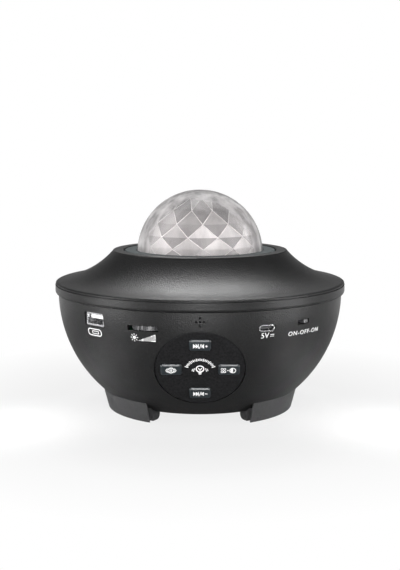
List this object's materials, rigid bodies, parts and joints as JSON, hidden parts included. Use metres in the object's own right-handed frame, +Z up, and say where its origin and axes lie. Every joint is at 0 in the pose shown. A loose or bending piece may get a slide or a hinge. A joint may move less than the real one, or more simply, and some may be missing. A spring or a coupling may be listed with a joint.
{
  "type": "night light projector",
  "caption": "Round black table-top night light projector with a turning clear faceted dome, a flared lid, a round four-button panel, sockets, a dimmer wheel and a slide switch, on three feet.",
  "frame": {"origin": "on the table under the middle of the case", "axes": "+Z up along the dome axis, -Y towards the control panel, +X towards the right of someone facing the panel"},
  "size_m": [0.168, 0.168, 0.1265],
  "materials": {
    "case_black": "fine-grained matte black",
    "panel_black": "fine speckled matte black",
    "button_black": "satin black",
    "collar_grey": "satin dark teal grey",
    "clear_dome": "clear acrylic, faceted inside",
    "clear_lens": "clear acrylic",
    "white_plastic": "matte white",
    "natural_plastic": "unfilled acetal",
    "foot_rubber": "matte black rubber",
    "circuit_board": "green solder mask",
    "chip_black": "moulded black",
    "socket_steel": "bright plated",
    "screw_steel": "zinc plated",
    "sink_aluminium": "extruded",
    "laser_brass": "turned",
    "led_yellow": "emitter package",
    "magnet_ferrite": "bare ferrite",
    "cone_paper": "pressed paper"
  },
  "bodies": {
    "base": {"board_components": "chip_black", "button_board": "circuit_board", "button_board_screws": "screw_steel", "button_keys": "chip_black", "carrier_deck": "case_black", "case_screws": "screw_steel", "control_panel": "panel_black", "deck_screws": "screw_steel", "dimmer_body": "screw_steel", "foot_left": "case_black", "foot_pad_left": "foot_rubber", "foot_pad_rear": "foot_rubber", "foot_pad_right": "foot_rubber", "foot_rear": "case_black", "foot_right": "case_black", "gear_motor": "screw_steel", "heat_sink": "sink_aluminium", "laser_lens": "clear_lens", "laser_module": "laser_brass", "led_board": "white_plastic", "led_emitters": "led_yellow", "led_lenses": "clear_lens", "lower_shell": "case_black", "main_board": "circuit_board", "main_board_screws": "screw_steel", "mic_boot": "foot_rubber", "microphone": "sink_aluminium", "motor_screws": "screw_steel", "power_switch_body": "screw_steel", "reflector_tray": "white_plastic", "remote_receiver": "chip_black", "rotor_retainer": "white_plastic", "speaker_cone": "cone_paper", "speaker_frame": "screw_steel", "speaker_gasket": "foot_rubber", "speaker_magnet": "magnet_ferrite", "speaker_screws": "screw_steel", "top_cover": "case_black", "usb_a_shell": "socket_steel", "usb_a_tongue": "chip_black", "usb_c_shell": "socket_steel", "usb_c_tongue": "chip_black"},
    "rotor": {"dome": "clear_dome", "collar_ring": "collar_grey", "ring_gear": "natural_plastic", "rotor_screws": "screw_steel"},
    "pinion": {"drive_pinion": "natural_plastic", "motor_shaft": "screw_steel"},
    "volume_up": {"volume_up_button": "button_black"},
    "volume_down": {"volume_down_button": "button_black"},
    "power_key": {"power_button": "button_black"},
    "mode_key": {"mode_button": "button_black"},
    "dimmer_dial": {"dimmer_wheel": "button_black"},
    "switch_grip": {"power_switch_knob": "button_black"}
  },
  "joints": [
    {"name": "dome_turn", "type": "hinge", "parent": "base", "child": "rotor", "pos_m": [0, 0, 0.08], "axis": [0, 0, 1], "continuous": true},
    {"name": "motor_turn", "type": "hinge", "parent": "base", "child": "pinion", "pos_m": [0.042, 0, 0.08], "axis": [0, 0, 1], "continuous": true},
    {"name": "volume_up_press", "type": "slide", "parent": "base", "child": "volume_up", "axis": [0, 0.8957, 0.4446], "range_m": [0, 0.0005], "stiffness_N_per_m": 600},
    {"name": "volume_down_press", "type": "slide", "parent": "base", "child": "volume_down", "axis": [0, 0.8957, 0.4446], "range_m": [0, 0.0005], "stiffness_N_per_m": 600},
    {"name": "power_press", "type": "slide", "parent": "base", "child": "power_key", "axis": [0, 0.8957, 0.4446], "range_m": [0, 0.0005], "stiffness_N_per_m": 600},
    {"name": "mode_press", "type": "slide", "parent": "base", "child": "mode_key", "axis": [0, 0.8957, 0.4446], "range_m": [0, 0.0005], "stiffness_N_per_m": 600},
    {"name": "dimmer_turn", "type": "hinge", "parent": "base", "child": "dimmer_dial", "pos_m": [-0.02637, -0.0673, 0.0584], "axis": [0, 0, 1], "range_deg": [-135, 135]},
    {"name": "power_slide", "type": "slide", "parent": "base", "child": "switch_grip", "axis": [0.7408, 0.6717, 0], "range_m": [-0.0048, 0]}
  ],
  "couplings": [
    {"joint": "motor_turn", "follows": "dome_turn", "ratio": -6}
  ]
}
